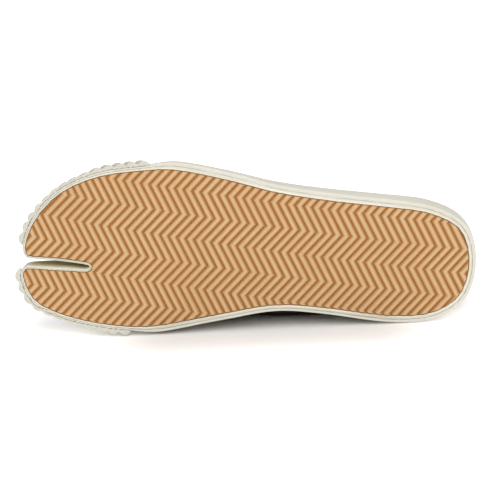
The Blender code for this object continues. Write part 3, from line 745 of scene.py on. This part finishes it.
for crease in CREASES:
    line = crease["x"] + crease["bend"] * places[:, 1] ** 2
    dip = crease["depth"] * np.exp(-((places[:, 0] - line) / crease["width"]) ** 2)
    places[:, 2] -= dip * on_top
upper_mesh.vertices.foreach_set("co", places.ravel())
upper_mesh.update()
leather_faces = [
    face.vertices[:] for face in upper_mesh.polygons
    if face.material_index == 0 and face.normal.z < STITCHED_FACING
]
leather_skin = BVHTree.FromPolygons(places.tolist(), leather_faces)
upper_mesh.transform(shoe_to_floor)
upper_mesh.update()
place_piece("upper_leather", upper_mesh, "upper")


# Collar stitches: one row of black thread that holds down the turned edge of the collar, each stitch
# half sunk in the leather.
STITCH_BELOW_EDGE = 0.004
STITCH_PITCH = 0.0030
STITCH_LENGTH = 0.0022
STITCH_THICKNESS = 0.00055
STITCH_LIFT = 0.0001
SEEK_OUTWARDS = 0.002
THREAD_BLACK = (0.02, 0.019, 0.0185, 1.0)
THREAD_GREY = (0.036, 0.034, 0.033, 1.0)
THREAD_TWIST = 2600.0
THREAD_TWIST_DEPTH = 0.0001

thread, tree, shader = new_material("black_thread", 0.6, 0.25)
twist = noise(tree, THREAD_TWIST)
tree.links.new(blend_colours(tree, twist, THREAD_BLACK, THREAD_GREY), shader.inputs["Base Color"])
roughen(tree, shader, twist, THREAD_TWIST_DEPTH, 0.6)

middle = sum(collar_line, Vector()) / len(collar_line)
seam_points = []
for i, point in enumerate(collar_line):
    run = collar_line[(i + 1) % len(collar_line)] - collar_line[i - 1]
    away = Vector((run.y, -run.x, 0.0)).normalized()
    away *= math.copysign(SEEK_OUTWARDS, away.dot(point - middle))
    sought = point + away - Vector((0.0, 0.0, STITCH_BELOW_EDGE))
    place, outwards, _, _ = leather_skin.find_nearest(sought)
    seam_points.append(place + outwards * STITCH_LIFT)
seam_edges = [(i, (i + 1) % len(seam_points)) for i in range(len(seam_points))]
seam_mesh = bpy.data.meshes.new("collar_seam")
seam_mesh.from_pydata(seam_points, seam_edges, [])

stitch_sizes = {
    "Pitch": STITCH_PITCH,
    "Length": STITCH_LENGTH,
    "Thickness": STITCH_THICKNESS,
    "Thread": thread,
}
tree, sizes = new_tree("row of stitches", stitch_sizes)
path = add_node(tree, "GeometryNodeMeshToCurve", {0: sizes["Geometry"]}).outputs[0]
spacing = {"Curve": path, "Length": sizes["Pitch"]}
spaced = add_node(tree, "GeometryNodeResampleCurve", spacing, mode="LENGTH").outputs[0]
tangent = add_node(tree, "GeometryNodeInputTangent").outputs[0]
aimed = add_node(tree, "FunctionNodeAlignRotationToVector", {"Vector": tangent}, axis="X").outputs[0]
bead = add_node(tree, "GeometryNodeMeshUVSphere", {"Segments": 8, "Rings": 6, "Radius": 0.5}).outputs[0]
slim = vector_from(tree, sizes["Length"], sizes["Thickness"], sizes["Thickness"])
stitch = add_node(tree, "GeometryNodeTransform", {"Geometry": bead, "Scale": slim}).outputs[0]
sewing = {"Points": spaced, "Instance": stitch, "Rotation": aimed}
row = add_node(tree, "GeometryNodeInstanceOnPoints", sewing).outputs[0]
finish_tree(tree, row, sizes["Thread"])
stitch_mesh = grown_mesh("collar_stitches", seam_mesh, tree, stitch_sizes)
stitch_mesh.transform(shoe_to_floor)
paint(stitch_mesh, thread)
stitch_mesh.shade_smooth()
place_piece("collar_stitches", stitch_mesh, None)


# Footbed: a thin foam insole covered in plain cloth. It is cut to fit inside the upper and lies loose
# on the sole board.
FOOTBED_ROUNDING = 0.0009
FOOTBED_LIGHT = (0.47, 0.43, 0.36, 1.0)
FOOTBED_DARK = (0.36, 0.325, 0.265, 1.0)
FOOTBED_WEAVE = 200.0
FOOTBED_WEAVE_DEPTH = 0.0002
FOOTBED_WEAR = 25.0

footbed, tree, shader = new_material("footbed_cover", 0.92, 0.2)
threads = weave(tree, FOOTBED_WEAVE, "Z")
wear = spread(tree, noise(tree, FOOTBED_WEAR, 3.0), 0.3, 0.7, -0.2, 0.2)
worn = calculate(tree, "ADD", threads, wear)
tree.links.new(blend_colours(tree, worn, FOOTBED_DARK, FOOTBED_LIGHT), shader.inputs["Base Color"])
roughen(tree, shader, threads, FOOTBED_WEAVE_DEPTH, 0.6)
footbed_mesh = rounded_copy("insole", FOOTBED_ROUNDING, 3)
paint(footbed_mesh, footbed)
place_piece("footbed", footbed_mesh, "insole")


# Floor: a plain white floor. Its glow is painted light: it glows a little away from the shoe, so that it
# burns out to white there, and only the soft shadow beside the shoe is left.
FLOOR_REACH = 6.0
FLOOR_WHITE = (0.82, 0.81, 0.803, 1.0)
FLOOR_GLOW = 0.65
GLOW_EDGES = (("X", -0.045, -0.115), ("X", 0.070, 0.140), ("Y", -0.048, -0.105), ("Y", 0.03, 0.24))

bm = bmesh.new()
bmesh.ops.create_grid(bm, x_segments=1, y_segments=1, size=FLOOR_REACH)
floor_mesh = bpy.data.meshes.new("floor")
bm.to_mesh(floor_mesh)
bm.free()
floor_paint, tree, shader = new_material("floor_white", 0.8, 0.2)
shader.inputs["Base Color"].default_value = FLOOR_WHITE
across = parts_of(tree, own_place(tree))
dimness = 1.0
for axis, dark_end, bright_end in GLOW_EDGES:
    edge = {"Value": across[axis], "From Min": dark_end, "From Max": bright_end}
    edge.update({"To Min": 1.0, "To Max": 0.0})
    soft_edge = add_node(tree, "ShaderNodeMapRange", edge, interpolation_type="SMOOTHSTEP").outputs[0]
    dimness = calculate(tree, "MULTIPLY", soft_edge, dimness)
glow = calculate(tree, "MULTIPLY", calculate(tree, "SUBTRACT", 1.0, dimness), FLOOR_GLOW)
tree.links.new(glow, shader.inputs["Emission Strength"])
shader.inputs["Emission Color"].default_value = FLOOR_WHITE
floor_mesh.materials.append(floor_paint)
link_object("floor", floor_mesh)


# Light: a wide soft box above and a little in front, another from the viewer's side, and a white room
# all round, which is brighter overhead.
SOFT_BOXES = {
    "overhead": {"place": (0.05, -0.35, 1.5), "size": 1.6, "watts": 8.8},
    "front": {"place": (0.15, -1.4, 1.25), "size": 1.0, "watts": 10.5},
}
LIGHT_AIM = Vector((0.0, -0.02, 0.05))
ROOM_AT_HORIZON = 0.23
ROOM_OVERHEAD = 0.8

for name, box in SOFT_BOXES.items():
    lamp = bpy.data.lights.new(name, "AREA")
    lamp.energy = box["watts"]
    lamp.size = box["size"]
    light = link_object(name, lamp)
    light.location = box["place"]
    light.rotation_euler = (LIGHT_AIM - light.location).to_track_quat("-Z", "Y").to_euler()
room = bpy.data.worlds.new("white_room")
room.use_nodes = True
background = room.node_tree.nodes["Background"]
background.inputs["Color"].default_value = (1.0, 1.0, 1.0, 1.0)
look = add_node(room.node_tree, "ShaderNodeTexCoord").outputs["Generated"]
look_up = parts_of(room.node_tree, look)["Z"]
sky = spread(room.node_tree, look_up, 0.0, 1.0, ROOM_AT_HORIZON, ROOM_OVERHEAD)
room.node_tree.links.new(sky, background.inputs["Strength"])
bpy.context.scene.world = room
bpy.context.scene.view_settings.view_transform = "Standard"


# Camera: level with the shoe's length and looking straight at the tread, from a little to its outer
# side. The image is square, and its scale is that of the photo at the tread.
IMAGE_SIDE = 490
PIXELS_PER_METRE = 1674.0
TOE_PIXEL_X = 16.0
MIDLINE_PIXEL_Y = 255.0
VIEW_FROM_OUTER_SIDE = math.radians(8.5)
CAMERA_DISTANCE = 1.0

middle_x = (IMAGE_SIDE / 2 - TOE_PIXEL_X) / PIXELS_PER_METRE
middle_y = (IMAGE_SIDE / 2 - MIDLINE_PIXEL_Y) / PIXELS_PER_METRE / math.cos(VIEW_FROM_OUTER_SIDE)
right = Vector((1.0, 0.0, 0.0))
back = Vector((0.0, -math.sin(VIEW_FROM_OUTER_SIDE), -math.cos(VIEW_FROM_OUTER_SIDE)))
camera_turn = Matrix((right, back.cross(right), back)).transposed()
camera_place = Vector((middle_x, middle_y, 0.0)) + back * CAMERA_DISTANCE
lens = bpy.data.cameras.new("camera")
lens.angle = 2 * math.atan(IMAGE_SIDE / PIXELS_PER_METRE / 2 / CAMERA_DISTANCE)
camera = link_object("camera", lens)
camera.matrix_world = shoe_to_floor @ Matrix.Translation(camera_place) @ camera_turn.to_4x4()
bpy.context.scene.camera = camera
